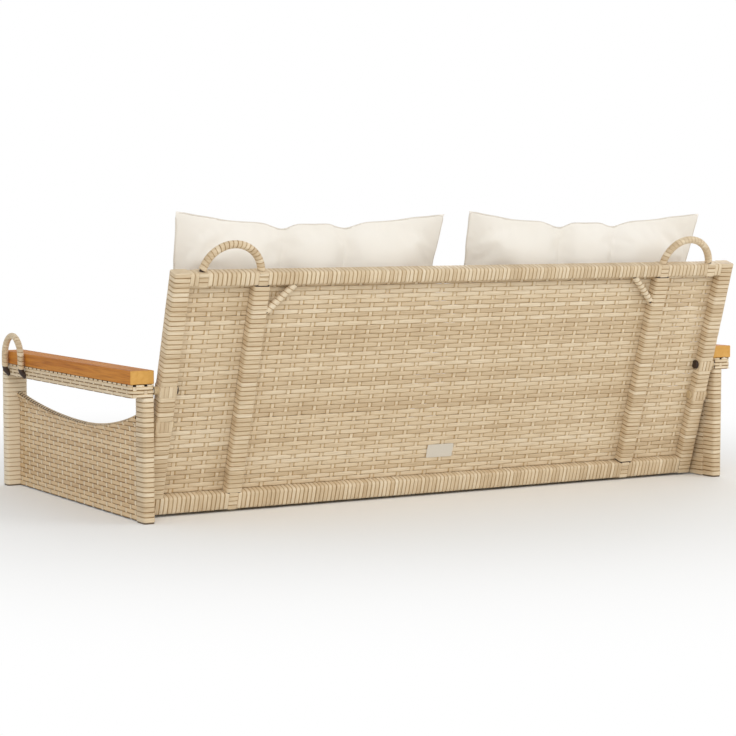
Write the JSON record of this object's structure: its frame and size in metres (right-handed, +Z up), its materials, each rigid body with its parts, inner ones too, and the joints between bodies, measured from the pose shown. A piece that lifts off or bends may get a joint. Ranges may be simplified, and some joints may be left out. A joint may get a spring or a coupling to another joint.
{
  "type": "swing bench",
  "caption": "Hanging swing bench for a porch: raked back, scooped arms and seat woven from flat strip on steel tube, wooden armrests, rope loops and loose cushions.",
  "frame": {"origin": "on the floor under the middle of the bench's box", "axes": "+X to the sitter's left, along the bench; +Y to the rear; +Z up"},
  "size_m": [1.104, 0.5698, 0.4356],
  "materials": {
    "rattan_strip": "flat polyethylene strip, satin, mixed straw tones",
    "frame_steel": "dark brown powder coat",
    "armrest_wood": "oiled honey-brown hardwood",
    "cushion_fabric": "cream-white woven polyester",
    "cap_plastic": "dark brown moulded",
    "plug_plastic": "near-black moulded",
    "spacer_plastic": "dark brown moulded",
    "zinc_steel": "zinc plated"
  },
  "bodies": {
    "bench": {"armrest_screws": "zinc_steel", "back_bolt_caps": "cap_plastic", "back_bolt_spacers": "spacer_plastic", "back_bolts": "zinc_steel", "back_bottom_rail_wrap": "rattan_strip", "back_frame": "frame_steel", "back_rivet_nuts": "zinc_steel", "back_top_rail_wrap": "rattan_strip", "center_back_panel": "rattan_strip", "front_foot_plugs": "plug_plastic", "left_arm_border": "rattan_strip", "left_arm_frame": "frame_steel", "left_arm_panel": "rattan_strip", "left_arm_rail_wrap": "rattan_strip", "left_armrest": "armrest_wood", "left_back_brace_wrap": "rattan_strip", "left_back_panel": "rattan_strip", "left_back_stile_wrap": "rattan_strip", "left_back_upright_wrap": "rattan_strip", "left_front_loop_wrap": "rattan_strip", "left_front_post_wrap": "rattan_strip", "left_rear_loop_wrap": "rattan_strip", "left_rear_post_wrap": "rattan_strip", "left_seat_side_wrap": "rattan_strip", "rear_foot_plugs": "plug_plastic", "right_arm_border": "rattan_strip", "right_arm_frame": "frame_steel", "right_arm_panel": "rattan_strip", "right_arm_rail_wrap": "rattan_strip", "right_armrest": "armrest_wood", "right_back_brace_wrap": "rattan_strip", "right_back_panel": "rattan_strip", "right_back_stile_wrap": "rattan_strip", "right_back_upright_wrap": "rattan_strip", "right_front_loop_wrap": "rattan_strip", "right_front_post_wrap": "rattan_strip", "right_rear_loop_wrap": "rattan_strip", "right_rear_post_wrap": "rattan_strip", "right_seat_side_wrap": "rattan_strip", "seat_bolts": "zinc_steel", "seat_deck": "rattan_strip", "seat_frame": "frame_steel", "seat_front_rail_wrap": "rattan_strip", "seat_rear_rail_wrap": "rattan_strip", "seat_rivet_nuts": "zinc_steel"},
    "seat_cushion": {"seat_cushion": "cushion_fabric"},
    "left_back_cushion": {"left_back_cushion": "cushion_fabric"},
    "right_back_cushion": {"right_back_cushion": "cushion_fabric"}
  },
  "joints": [
    {"name": "seat_cushion_slide", "type": "slide", "parent": "bench", "child": "seat_cushion", "axis": [0, -1, 0], "range_m": [0, 0.4]},
    {"name": "left_back_cushion_lift", "type": "slide", "parent": "bench", "child": "left_back_cushion", "axis": [0, 0.2924, 0.9563], "range_m": [0, 0.3]},
    {"name": "right_back_cushion_lift", "type": "slide", "parent": "bench", "child": "right_back_cushion", "axis": [0, 0.2924, 0.9563], "range_m": [0, 0.3]}
  ]
}
